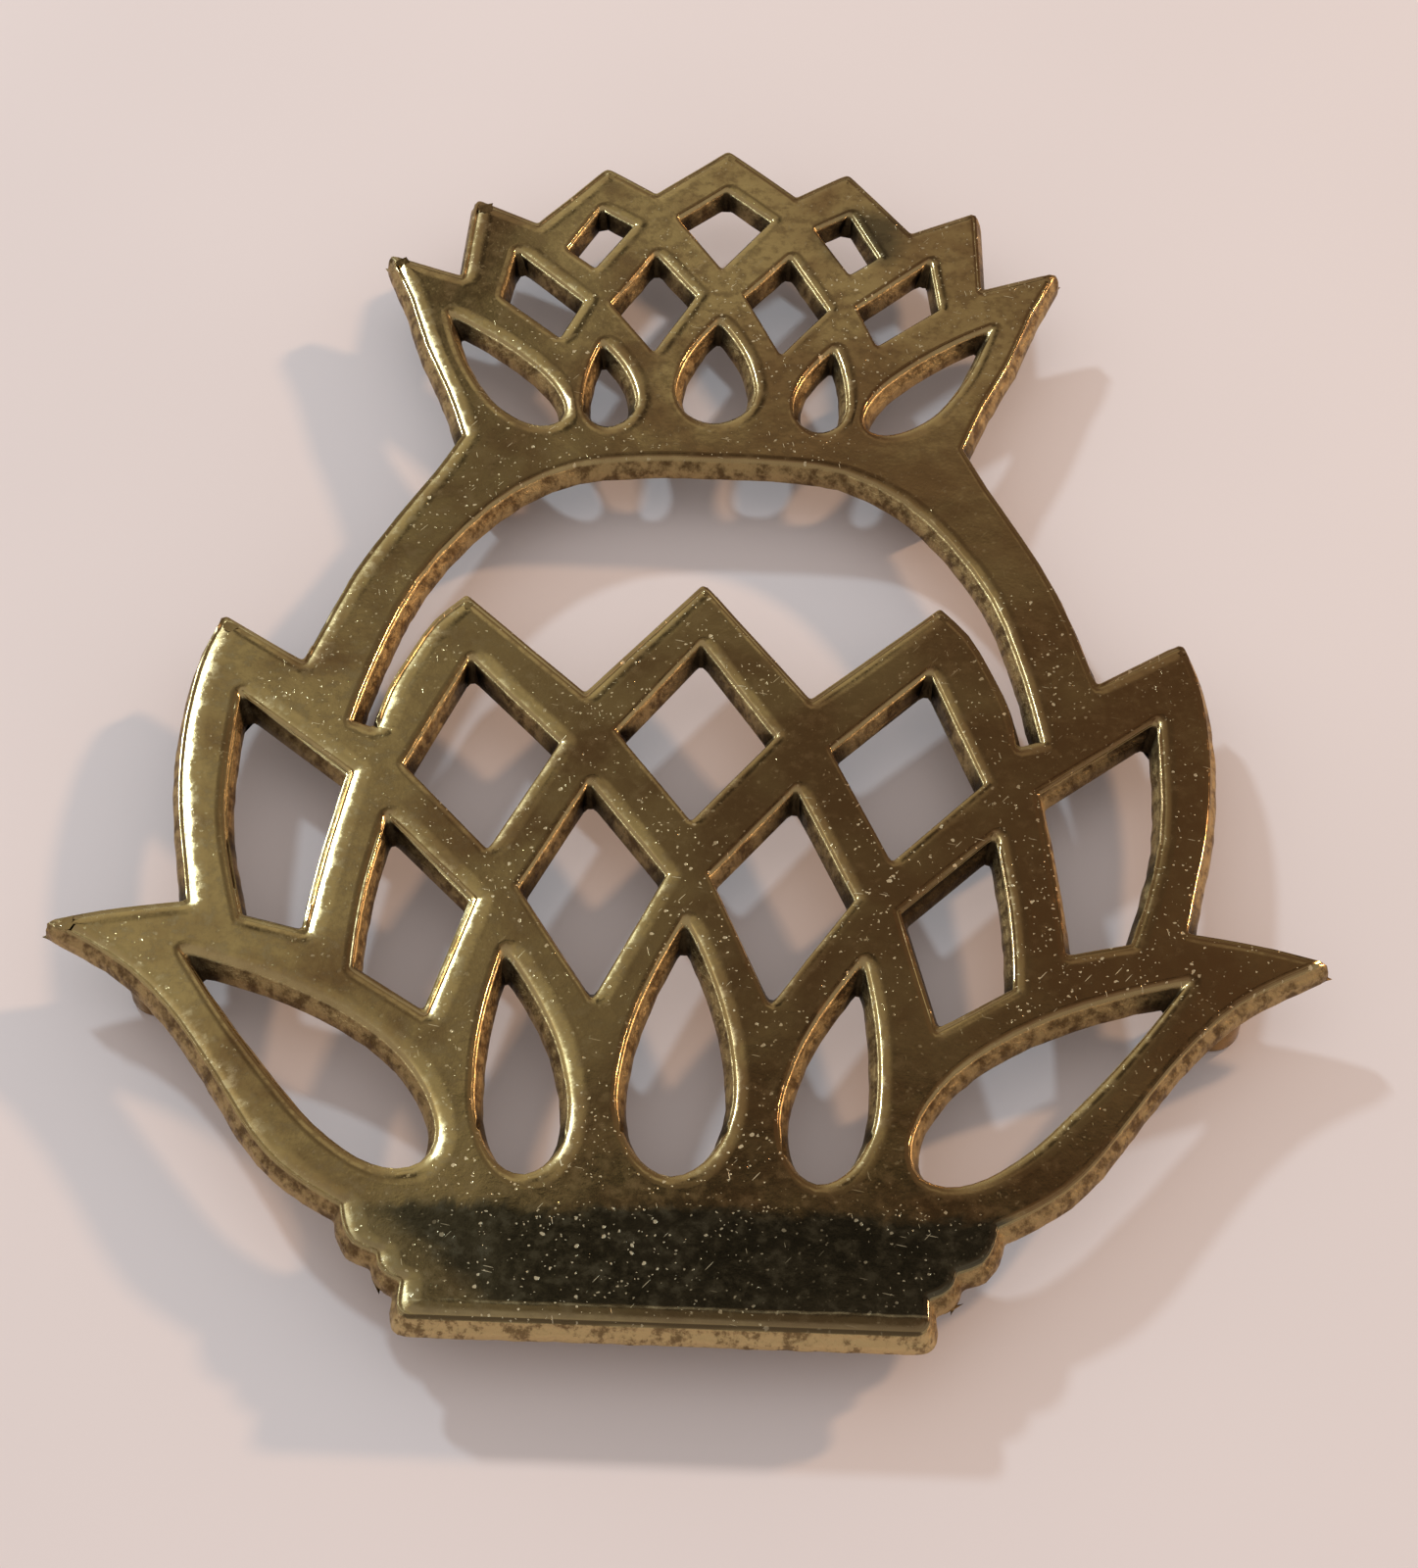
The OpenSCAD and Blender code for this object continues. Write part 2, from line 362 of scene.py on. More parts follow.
def cast_brass(colours):
    """Polished, aged brass on top, rough cast skin on the walls."""
    material = bpy.data.materials.new("cast_brass")
    s = Shader(material)
    at = s.add("ShaderNodeTexCoord").outputs["Object"]
    height = s.add("ShaderNodeSeparateXYZ", {0: at}).outputs[2]
    face = s.ramp(height, TOP_Z - 1.05 * MM, TOP_Z - 0.60 * MM)
    flat = s.ramp(height, TOP_Z - 0.40 * MM, TOP_Z - 0.04 * MM)

    broad = s.noise(at, 22.0, 3.0, 0.55)
    cloud = s.noise(at, 95.0, 4.0, 0.6, 0.4)
    both = s.math("ADD", s.math("MULTIPLY", broad, 0.6), s.math("MULTIPLY", cloud, 0.4))
    browned = s.ramp(both, 0.40, 0.62)

    # specks and short scratches, thicker in some places than in others
    shaken = s.add("ShaderNodeTexNoise", {"Vector": at, "Scale": 1500.0}).outputs[1]
    shaken = s.vector("MULTIPLY", shaken, (0.7 * MM, 0.7 * MM, 0.0))
    loose = s.vector("ADD", at, shaken)
    marks = None
    for turn, scale, share, size in FLECKS:
        where = loose if scale[1] < FINE_SCALE else at
        mark = flecks(s, where, turn, scale, share, size, (turn, 1.0, 0.0))
        marks = mark if marks is None else s.math("MAXIMUM", marks, mark)
    worn = s.ramp(s.noise(s.mapping(at, (0.3, 0.1, 0)), 30.0, 3.0), 0.38, 0.60, 0.25, 1.0)
    place = s.add("ShaderNodeSeparateXYZ", {0: at}).outputs
    worn = s.math("MULTIPLY", worn, s.ramp(place[0], -80 * MM, -35 * MM, 0.4, 1.0))
    marks = s.math("MULTIPLY", marks, worn)
    haze = s.ramp(s.noise(at, 420.0, 6.0, 0.72), 0.44, 0.66)

    face_colour = s.mix(browned, colours.polish, colours.patina)
    face_colour = s.mix(s.math("MULTIPLY", haze, 0.45), face_colour, (0.19, 0.115, 0.055))
    # the face is darker towards the right
    rightward = s.ramp(place[0], -30 * MM, 60 * MM, 0.0, 0.5)
    face_colour = s.mix(rightward, face_colour, (0.24, 0.135, 0.062))
    # painted reflection: a dark band above the strip at the foot of the base, with a ragged upper
    # edge
    ragged = s.math("MULTIPLY_ADD", s.noise(at, 120.0, 5.0, 0.65, 0.6), 9.0 * MM, -4.5 * MM)
    low = CASTING_BOX[0].y
    front = s.math("SUBTRACT", place[1], low)
    across = s.math("ADD", front, ragged)
    painted_reflection_band = s.between(front, across, (4.0 * MM, 4.4 * MM), (18.5 * MM, 21 * MM))
    slant = s.math("ADD", s.math("ADD", place[0], front), ragged)
    painted_reflection_band = s.math("MULTIPLY", painted_reflection_band, s.ramp(slant, -24 * MM, -18 * MM))
    # painted reflection: the base up to the band's top is painted duller, a fainter part of the
    # same reflection
    painted_dim_reflection = s.ramp(across, 18 * MM, 22 * MM, 0.45, 0.0)
    face_colour = s.mix(painted_dim_reflection, face_colour, (0.20, 0.17, 0.105))
    face_colour = s.mix(s.math("MULTIPLY", painted_reflection_band, 0.85), face_colour, (0.085, 0.078, 0.056))
    # a dark blotch on the right of the crown
    blotch = s.vector("DISTANCE", at, (24 * MM, 100 * MM, TOP_Z), "Value")
    blotch = s.ramp(s.math("ADD", blotch, ragged), 4 * MM, 10 * MM, 0.75, 0.0)
    face_colour = s.mix(blotch, face_colour, (0.07, 0.058, 0.04))
    # a broken pale line along the strip at the foot of the base, and under it a dark line painted
    # as a reflection
    sway = s.math("MULTIPLY_ADD", s.noise(at, 160.0, 3.0), 1.0 * MM, -0.5 * MM)
    wander = s.math("ADD", front, sway)
    pale_line = s.between(wander, wander, (3.7 * MM, 3.9 * MM), (4.0 * MM, 4.25 * MM))
    pale_line = s.math("MULTIPLY", pale_line, s.ramp(cloud, 0.4, 0.55))
    face_colour = s.mix(pale_line, face_colour, (0.60, 0.52, 0.34))
    face_colour = s.mix(s.ramp(flat, 0.0, 1.0, 0.5, 1.0), colours.polish, face_colour)
    # painted reflection: a dark line where the rounded front edge mirrors something dark
    painted_reflected_line = s.between(front, front, (1.2 * MM, 1.35 * MM), (1.65 * MM, 1.8 * MM))
    face_colour = s.mix(s.math("MULTIPLY", painted_reflected_line, 0.8), face_colour, (0.07, 0.045, 0.025))
    face_colour = s.mix(s.math("MULTIPLY", marks, 0.6), face_colour, (0.62, 0.52, 0.34))

    # the walls are darker where soot and polish have caught
    soot = s.ramp(s.noise(at, 420.0, 6.0, 0.7), 0.40, 0.64)
    wall_colour = s.mix(soot, colours.cast_skin, (0.15, 0.09, 0.04))
    # painted light: the wall along the front of the base, open to the room, is painted brighter
    at_front = s.ramp(front, 1.8 * MM, 2.6 * MM, 0.8, 0.0)
    painted_front_light = s.math("MULTIPLY", at_front, s.ramp(soot, 0.2, 0.9, 1.0, 0.2))
    wall_colour = s.mix(painted_front_light, wall_colour, (0.66, 0.49, 0.25))
    # painted shade: walls in the windows are darkened, most of all in their corners
    painted_shade = s.add("ShaderNodeAttribute", attribute_name="painted_shade").outputs["Fac"]
    wall_colour = s.mix(painted_shade, wall_colour, (0.035, 0.022, 0.012))
    colour = s.mix(face, wall_colour, face_colour)

    scuffed = s.math("MAXIMUM", marks, s.math("MULTIPLY", haze, 0.5))
    face_rough = s.ramp(cloud, 0.35, 0.7, 0.07, 0.12)
    face_rough = s.math("ADD", face_rough, s.math("MULTIPLY", scuffed, 0.34))
    face_rough = s.math("ADD", face_rough, s.ramp(flat, 0.0, 1.0, 0.10, 0.0))
    rough = s.add("ShaderNodeMix", {0: face, 2: 0.46, 3: face_rough}, data_type="FLOAT").outputs[0]
    metallic = s.ramp(s.math("MULTIPLY", marks, face), 0.0, 1.0, 1.0, 0.5)

    # bump: slow waves of the buffed face, pits and scratches, and the grain of the cast skin
    waves = s.bump(s.noise(at, 52.0, 2.0), 0.18 * MM)
    ripples = s.bump(s.noise(at, 260.0, 3.0), 0.022 * MM, 1.0, waves)
    fine = s.bump(s.noise(at, 1300.0, 4.0, 0.7), 0.010 * MM, 1.0, ripples)
    pits = s.bump(s.math("MULTIPLY", marks, -1.0), 0.015 * MM, 1.0, fine)
    wall_share = s.math("SUBTRACT", 1.0, face)
    skin = s.math("MULTIPLY", s.noise(at, 900.0, 5.0, 0.7), wall_share)
    skin_bump = s.bump(skin, 0.40 * MM, 1.0, pits)
    shader = s.add(
        "ShaderNodeBsdfPrincipled",
        {"Base Color": colour, "Metallic": metallic, "Roughness": rough, "Normal": skin_bump},
    )
    s.add("ShaderNodeOutputMaterial", {"Surface": shader.outputs[0]})
    return material


def turned_brass(colours):
    """Plain turned brass with fine rings and a little tarnish."""
    material = bpy.data.materials.new("turned_brass")
    s = Shader(material)
    at = s.add("ShaderNodeTexCoord").outputs["Object"]
    tarnish = s.ramp(s.noise(at, 160.0, 4.0, 0.6), 0.42, 0.68)
    colour = s.mix(tarnish, colours.brass, (0.17, 0.10, 0.045))
    rings = s.noise(s.mapping(at, scale=(60, 60, 6000)), 1.0)
    shader = s.add(
        "ShaderNodeBsdfPrincipled",
        {
            "Base Color": colour,
            "Metallic": 1.0,
            "Roughness": s.ramp(tarnish, 0.0, 1.0, 0.26, 0.48),
            "Normal": s.bump(rings, 0.01 * MM),
        },
    )
    s.add("ShaderNodeOutputMaterial", {"Surface": shader.outputs[0]})
    return material


def stone_floor(colour):
    """Plain pale floor."""
    material = bpy.data.materials.new("pale_floor")
    s = Shader(material)
    at = s.add("ShaderNodeTexCoord").outputs["Object"]
    tone = s.ramp(s.noise(at, 6.0, 2.0), 0.35, 0.65)
    darker = tuple(0.97 * c for c in colour)
    shader = s.add(
        "ShaderNodeBsdfPrincipled",
        {
            "Base Color": s.mix(tone, tuple(colour), darker),
            "Roughness": 0.6,
            "Specular IOR Level": 0.25,
        },
    )
    s.add("ShaderNodeOutputMaterial", {"Surface": shader.outputs[0]})
    return material


# ---------------------------------------------------------------- mesh helpers
def alone(piece):
    """Leaves one object selected and active."""
    bpy.ops.object.select_all(action="DESELECT")
    piece.select_set(True)
    bpy.context.view_layer.objects.active = piece


def edit(piece, kind):
    """Opens a piece in edit mode with nothing selected."""
    alone(piece)
    bpy.ops.object.mode_set(mode="EDIT")
    bpy.ops.mesh.select_mode(type=kind)
    bpy.ops.mesh.select_all(action="DESELECT")


def at_low(part):
    """Whether an edge or a face lies on the underside."""
    return all(abs(v.co.z - LOW_Z) < SAME for v in part.verts)


def on_top(part):
    """Whether an edge or a face lies on the face of the casting."""
    return all(v.co.z > TOP_Z - SAME for v in part.verts)


def choose(piece, kind, test):
    """Selects the parts of an open mesh that pass a test, and fails if there are none."""
    mesh = bmesh.from_edit_mesh(piece.data)
    parts = {"VERT": mesh.verts, "EDGE": mesh.edges, "FACE": mesh.faces}[kind]
    found = 0
    for part in parts:
        chosen = test(part)
        part.select_set(chosen)
        found += chosen
    mesh.select_flush_mode()
    bmesh.update_edit_mesh(piece.data)
    if not found:
        raise RuntimeError(f"{piece.name}: nothing was found to select")


def unit(rows):
    """Rows brought to length one; a row without a length stays zero."""
    length = np.linalg.norm(rows, axis=1)[:, None]
    return np.where(length > NONE, rows / np.maximum(length, NONE), 0.0)


def square_off(start, way, pairs):
    """Turns every point's way inward until it halves the corner of its outline."""
    following = {}
    for a, b in pairs:
        following.setdefault(a, []).append(b)
        following.setdefault(b, []).append(a)
    seen = set()
    for first in following:
        if first in seen:
            continue
        loop = [first]
        while loop[-1] is not None:
            seen.add(loop[-1])
            loop.append(next((n for n in following[loop[-1]] if n not in seen), None))
        loop.pop()
        along = unit(np.roll(start[loop], -1, axis=0) - start[loop])
        side = np.column_stack([-along[:, 1], along[:, 0]])
        corner = unit(side + np.roll(side, 1, axis=0))
        way[loop] = corner if (corner * way[loop]).sum() > 0 else -corner


def roll_margin(piece, width, drop):
    """Insets the chosen face by a margin whose outer side drops; it is narrow on thin metal."""
    bpy.ops.mesh.inset(thickness=0.01 * MM, use_even_offset=False, use_boundary=True)
    mesh = bmesh.from_edit_mesh(piece.data)
    region = {v for f in mesh.faces if f.select for v in f.verts}
    inner, outer = [], []
    for vert in mesh.verts:
        outside = [o for o in (e.other_vert(vert) for e in vert.link_edges) if o not in region]
        if vert in region and outside:
            inner.append(vert)
            outer.append(outside[0])
    index = {vert: i for i, vert in enumerate(inner)}
    start = np.array([v.co.xy for v in outer])
    way = unit(np.array([v.co.xy for v in inner]) - start)
    pairs = np.array([
        [index[v] for v in e.verts]
        for e in mesh.edges
        if all(v in index for v in e.verts) and sum(f.select for f in e.link_faces) == 1
    ])
    square_off(start, way, pairs)
    # how far off the metal's other side is, straight across
    first, along = start[pairs[:, 0]], start[pairs[:, 1]] - start[pairs[:, 0]]
    across = way[:, None, 0] * along[:, 1] - way[:, None, 1] * along[:, 0]
    gap = first[None] - start[:, None]
    with np.errstate(divide="ignore", invalid="ignore"):
        reach = (gap[..., 0] * along[:, 1] - gap[..., 1] * along[:, 0]) / across
        share = (gap[..., 0] * way[:, None, 1] - gap[..., 1] * way[:, None, 0]) / across
    reach[~((share >= 0) & (share <= 1) & (reach > 0.05 * MM))] = 1
    # the left of the casting has been buffed rounder than the right
    rounder = 1 - 0.35 * np.clip((start[:, 0] + 50 * MM) / (60 * MM), 0, 1)
    rounder *= np.clip(0.72 + 0.45 * way[:, 0] - 0.18 * way[:, 1], 0.4, 1.15)
    margin = np.minimum(width * rounder, MOST_OF_BAR * reach.min(axis=1))
    # neighbours on a tight tip mustn't cross
    length = np.maximum(np.linalg.norm(along, axis=1), NONE)
    closing = ((way[pairs[:, 0]] - way[pairs[:, 1]]) * along).sum(axis=1) / length
    limit = np.where(closing > 1e-6, 0.7 * length / np.maximum(closing, 1e-6), width)
    for side in (0, 1):
        np.minimum.at(margin, pairs[:, side], limit)
    for vert, edge_vert, at, towards, wide in zip(inner, outer, start, way, margin):
        vert.co = (*(at + towards * wide), TOP_Z)
        edge_vert.co.z -= drop * wide / width
    bmesh.update_edit_mesh(piece.data)


def sharp_points(piece, stride):
    """Finds where the open rim turns sharply round metal: the tips of the leaves and the crown."""
    mesh = bmesh.from_edit_mesh(piece.data)
    mesh.normal_update()
    tips = []
    for vert in mesh.verts:
        rims = [e for e in vert.link_edges if len(e.link_faces) == 1]
        if len(rims) != 2 or vert.co.y < CASTING_BOX[0].y + BASE_MOULDINGS:
            continue
        ways = []
        for edge in rims:
            here = edge.other_vert(vert)
            while (here.co - vert.co).length < stride:
                edge = next(e for e in here.link_edges if len(e.link_faces) == 1 and e != edge)
                here = edge.other_vert(here)
            ways.append((here.co - vert.co).xy.normalized())
        out = rims[0].link_faces[0].normal.xy + rims[1].link_faces[0].normal.xy
        if ways[0].angle(ways[1]) < radians(105) and out.dot(ways[0] + ways[1]) < 0:
            tips.append(vert.co.xy.copy())
    return tips


def round_tips(piece, tips, reach):
    """Rounds the sharp points at every level of the wall, as filing has left them."""
    mesh = bmesh.from_edit_mesh(piece.data)
    mesh.normal_update()
    near = [v for v in mesh.verts if min((v.co.xy - tip).length for tip in tips) < reach]
    start = [v.co.xy.copy() for v in near]
    for _ in range(4):
        moved = []
        for vert in near:
            level = [
                e.other_vert(vert).co.xy
                for e in vert.link_edges
                if abs(e.other_vert(vert).co.z - vert.co.z) < 2 * SAME
                and any(f.normal.z > UNDERSIDE for f in e.link_faces)
            ]
            if len(level) == 2:
                moved.append((vert, vert.co.xy / 2 + (level[0] + level[1]) / 4))
        for vert, place in moved:
            vert.co.xy = place
    # the face keeps most of its point, the wall under it stands out less
    for vert, place in zip(near, start):
        shift = vert.co.xy - place
        most = 0.25 * MM + 0.25 * (TOP_Z - vert.co.z)
        vert.co.xy = place + shift * min(1, most / max(shift.length, NONE))
    bmesh.update_edit_mesh(piece.data)


def cut_long(piece, longest, tips):
    """Halves the wall faces, rim to underside, until no edge of the rim is too long."""
    low = CASTING_BOX[0]
    for _ in range(7):
        mesh = bmesh.from_edit_mesh(piece.data)
        found = False
        for rim in list(mesh.edges):
            a, b = (v.co for v in rim.verts)
            middle = (a + b) / 2
            tight = abs(middle.x) > BASE_STRAIGHT and middle.y < low.y + BASE_CORNERS
            tight = tight or any((middle.xy - tip).length < TIP_FINE for tip in tips)
            if min(a.z, b.z) < TOP_Z - SAME or (a - b).length < longest / (3 if tight else 1):
                continue
            found = True
            edge, face = rim, rim.link_faces[0]
            edge.select_set(True)
            while face and len(face.edges) == 4 and face.normal.z > UNDERSIDE:
                edge = next(e for e in face.edges if not set(e.verts) & set(edge.verts))
                edge.select_set(True)
                face = next((f for f in edge.link_faces if f != face), None)
        if not found:
            return
        bmesh.update_edit_mesh(piece.data)
        bpy.ops.mesh.subdivide(number_cuts=1)
        bpy.ops.mesh.select_all(action="DESELECT")


def soften_edge(piece, depths, drops, shifts):
    """Lowers and steepens the rings of the rounded edge, less on sides that face the crown."""
    mesh = bmesh.from_edit_mesh(piece.data)
    mesh.normal_update()
    for depth, drop, shift in zip(depths, drops, shifts):
        ring = [v for v in mesh.verts if abs(v.co.z - (TOP_Z - depth)) < 2 * SAME]
        if not ring:
            raise RuntimeError("a ring of the rounded edge is missing")
        for vert in ring:
            out = vert.normal.xy.normalized()
            share = 1 - 0.75 * min(max(out.y * 1.3, 0), 1)
            vert.co.z -= drop * share
            vert.co.xy -= out * shift * share
    bmesh.update_edit_mesh(piece.data)


def make_uneven(piece, lumps, corner):
    """Rounds the base's front corners, and gives the outline and the walls a wander."""
    mesh = bmesh.from_edit_mesh(piece.data)
    low, high = CASTING_BOX
    at_base = [v for v in mesh.verts if v.co.y < low.y + BASE_CORNERS]
    straight = [v.co for v in at_base if v.co.y < low.y + 3 * MM and abs(v.co.x) < BASE_STRAIGHT]
    for level in {round(co.z / MM, 1) for co in straight}:
        ring = [v for v in at_base if abs(v.co.z / MM - level) < 0.06]
        front = min(co.y for co in straight if abs(co.z / MM - level) < 0.06)
        side = max(v.co.x for v in ring if v.co.y < front + 0.3 * MM)
        for vert in ring:
            sign = 1 if vert.co.x > 0 else -1
            centre = Vector((sign * (side - corner), front + corner))
            out = vert.co.xy - centre
            if out.x * sign > 0 and out.y < 0:
                vert.co.xy = centre + out.normalized() * min(out.length, corner)
    # the same wander every time the script runs
    noise.seed_set(11)
    for vert in mesh.verts:
        depth = min(1, (TOP_Z - vert.co.z) / (3 * MM))
        shift = noise.noise_vector(vert.co / (9 * MM)) * 0.10 * MM
        shift += noise.noise_vector(vert.co / (2.6 * MM)) * lumps * depth
        vert.co.x = min(max(vert.co.x + shift.x, low.x), high.x)
        vert.co.y = min(max(vert.co.y + shift.y, low.y), high.y)
    bmesh.update_edit_mesh(piece.data)


def paint_window_shade(piece, tips):
    """Stores painted shade for each wall point: more in the windows, most in corners."""
    mesh = bmesh.from_edit_mesh(piece.data)
    places = np.array([v.co.xy for v in mesh.verts])

    def on_wall(vert):
        return LOW_Z + 0.1 * MM < vert.co.z < TOP_Z - 0.7 * MM

    def is_corner(edge):
        a, b = (v.co for v in edge.verts)
        return (
            abs(a.z - b.z) > 0.3 * MM
            and len(edge.link_faces) == 2
            and edge.calc_face_angle_signed() < -radians(28)
            and min((a.xy - tip).length for tip in tips) > TIP_CLEAN
        )

    mesh.verts.index_update()
    group, boxes = {}, []
    for vert in mesh.verts:
        if vert in group or not on_wall(vert):
            continue
        group[vert] = len(boxes)
        heap, members = [vert], []
        while heap:
            one = heap.pop()
            members.append(one.index)
            for edge in one.link_edges:
                other = edge.other_vert(one)
                if other not in group and on_wall(other):
                    group[other] = len(boxes)
                    heap.append(other)
        boxes.append(np.ptp(places[members], axis=0).prod())
    open_loops = set(np.argsort(boxes)[-2:])
    corners = np.array([
        (e.verts[0].co.xy + e.verts[1].co.xy) / 2
        for e in mesh.edges
        if all(on_wall(v) for v in e.verts) and is_corner(e)
    ])
    layer = mesh.verts.layers.float.new("painted_shade")
    for vert in mesh.verts:
        value = 0.50 if vert in group and group[vert] not in open_loops else 0.0
        nearest = np.linalg.norm(corners - places[vert.index], axis=1).min()
        value += (0.95 - value) * float(np.exp(-((nearest / (3.2 * MM)) ** 2)))
        vert[layer] = value
    bmesh.update_edit_mesh(piece.data)


def close():
    """Leaves edit mode."""
    bpy.ops.object.mode_set(mode="OBJECT")


def finish_piece(piece, material, node):
    """Dresses a piece in its only material, hangs it on the root body and hides the part it stands
    for.
    """
    piece.data.materials.clear()
    piece.data.materials.append(material)
    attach(piece, "root")
    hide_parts(node)


# ---------------------------------------------------------------- operators
class TRIVET_OT_casting(bpy.types.Operator):
    """Dress the openwork casting: a buffed face, rounded edges and cast walls"""

    bl_idname = "trivet.casting"
    bl_label = "Casting"

    def execute(self, context):
        settings = context.scene.trivet_casting
        alone(frame["nodes"]["trivet_plate"])
        bpy.ops.object.duplicate()
        piece = context.view_layer.objects.active
        piece.name = "brass_casting"
        piece.data.name = "brass_casting"
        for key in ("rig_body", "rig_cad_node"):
            if key in piece:
                del piece[key]
        edit(piece, "VERT")
        bpy.ops.mesh.select_all(action="SELECT")
        bpy.ops.mesh.remove_doubles(threshold=0.004 * MM)
        bpy.ops.mesh.select_all(action="DESELECT")

        # the edge round the underside is rounded
        bpy.ops.mesh.select_mode(type="EDGE")
        choose(piece, "EDGE", lambda e: at_low(e) and e.calc_face_angle(0) > radians(60))
        bpy.ops.mesh.bevel(
            offset=settings.low_edge, segments=3, profile=0.5, affect="EDGES", clamp_overlap=False
        )

        # the walls get faces small enough to be uneven
        bpy.ops.mesh.select_mode(type="FACE")
        choose(piece, "FACE", on_top)
        bpy.ops.mesh.delete(type="FACE")
        choose(piece, "FACE", lambda f: not at_low(f))
        bpy.ops.mesh.tris_convert_to_quads(face_threshold=radians(8), shape_threshold=radians(50))
        for rise in WALL_CUTS:
            choose(piece, "FACE", lambda f: not at_low(f))
            bpy.ops.mesh.bisect(plane_co=(0, 0, LOW_Z + rise), plane_no=(0, 0, 1))
        bpy.ops.mesh.select_mode(type="EDGE")
        bpy.ops.mesh.select_all(action="DESELECT")
        tips = sharp_points(piece, TIP_STRIDE)
        cut_long(piece, WALL_FACE, tips)
        round_tips(piece, tips, TIP_REACH)
        make_uneven(piece, settings.lumps, settings.corner)
        soften_edge(piece, EDGE_RINGS, settings.ring_drops, settings.ring_shifts)

        # the face is closed again, and rolls off toward every edge
        choose(piece, "EDGE", lambda e: on_top(e) and len(e.link_faces) == 1)
        bpy.ops.mesh.fill(use_beauty=True)
        bpy.ops.mesh.select_mode(type="FACE")
        choose(piece, "FACE", on_top)
        for width, drop in zip(settings.roll_widths, settings.roll_drops):
            roll_margin(piece, width, drop)
        bpy.ops.mesh.delete(type="FACE")
        bpy.ops.mesh.select_mode(type="EDGE")
        choose(piece, "EDGE", lambda e: on_top(e) and len(e.link_faces) == 1)
        bpy.ops.mesh.fill(use_beauty=True)

        # along the foot of the base the face falls away over a wider strip
        front = CASTING_BOX[0].y + settings.front_strip
        bpy.ops.mesh.select_mode(type="FACE")
        choose(piece, "FACE", on_top)
        bpy.ops.mesh.bisect(plane_co=(0, front, TOP_Z), plane_no=(0, 1, 0))
        mesh = bmesh.from_edit_mesh(piece.data)
        for vert in mesh.verts:
            share = (front - vert.co.y) / settings.front_strip
            if share > 0 and vert.co.z > LOW_Z + 1.5 * MM:
                vert.co.z -= settings.front_drop * share ** 1.5
        bmesh.update_edit_mesh(piece.data)

        paint_window_shade(piece, tips)
        close()
        # nothing may stand out of the solid's own box
        low, high = CASTING_BOX
        for vert in piece.data.vertices:
            vert.co.z = min(vert.co.z, TOP_Z)
            vert.co.x = min(max(vert.co.x, low.x + INSIDE), high.x - INSIDE)
            vert.co.y = min(max(vert.co.y, low.y + INSIDE), high.y - INSIDE)
        bpy.ops.object.shade_smooth_by_angle(angle=radians(50))
        # the flat of the face is shaded flat up to its margin
        flat = TOP_Z - 0.001 * MM
        upright = [(0, 0, int(v.co.z > flat)) for v in piece.data.vertices]
        piece.data.normals_split_custom_set_from_vertices(upright)
        finish_piece(piece, cast_brass(settings), "trivet_plate")
        return {"FINISHED"}


class TRIVET_OT_feet(bpy.types.Operator):
    """Turn the four peg feet and set them under the casting"""

    bl_idname = "trivet.feet"
    bl_label = "Feet"

    def execute(self, context):
        settings = context.scene.trivet_feet
        material = turned_brass(settings)
        for node in FEET:
            low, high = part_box(node)
            centre = (low + high) / 2
            top_r = (high.x - low.x) / 2
            tall = high.z - low.z
            bpy.ops.object.select_all(action="DESELECT")
            bpy.ops.mesh.primitive_cylinder_add(
                vertices=64, radius=top_r, depth=tall, location=centre
            )
            piece = context.view_layer.objects.active
            piece.name = node.replace("foot", "turned_foot")
            piece.data.name = piece.name
            bpy.ops.object.transform_apply(location=True, rotation=True, scale=True)
            edit(piece, "FACE")
            # the standing end is narrower, with a shallow turned dish
            choose(piece, "FACE", lambda f: f.normal.z < -0.9)
            share = (top_r - FOOT_TAPER) / top_r
            bpy.ops.transform.resize(
                value=(share, share, 1), center_override=(centre.x, centre.y, low.z)
            )
            bpy.ops.mesh.bevel(offset=settings.edge, segments=5, profile=0.5, affect="EDGES")
            choose(piece, "FACE", lambda f: f.normal.z < -0.99)
            for thickness, depth in DISH_INSETS:
                bpy.ops.mesh.inset(thickness=thickness, depth=depth)
            # a fine groove under the braze
            bpy.ops.mesh.select_mode(type="EDGE")
            for level in FOOT_CUTS:
                bpy.ops.mesh.select_all(action="SELECT")
                cut_at = (centre.x, centre.y, high.z - level)
                bpy.ops.mesh.bisect(plane_co=cut_at, plane_no=(0, 0, 1), use_fill=False)
            bpy.ops.mesh.select_mode(type="VERT")
            choose(piece, "VERT", lambda v: abs(v.co.z - (high.z - GROOVE_AT)) < 2 * SAME)
            bpy.ops.transform.resize(
                value=(GROOVE_SHARE, GROOVE_SHARE, 1),
                center_override=(centre.x, centre.y, high.z),
            )
            close()
            bpy.ops.object.shade_smooth_by_angle(angle=radians(35))
            finish_piece(piece, material, node)
        return {"FINISHED"}


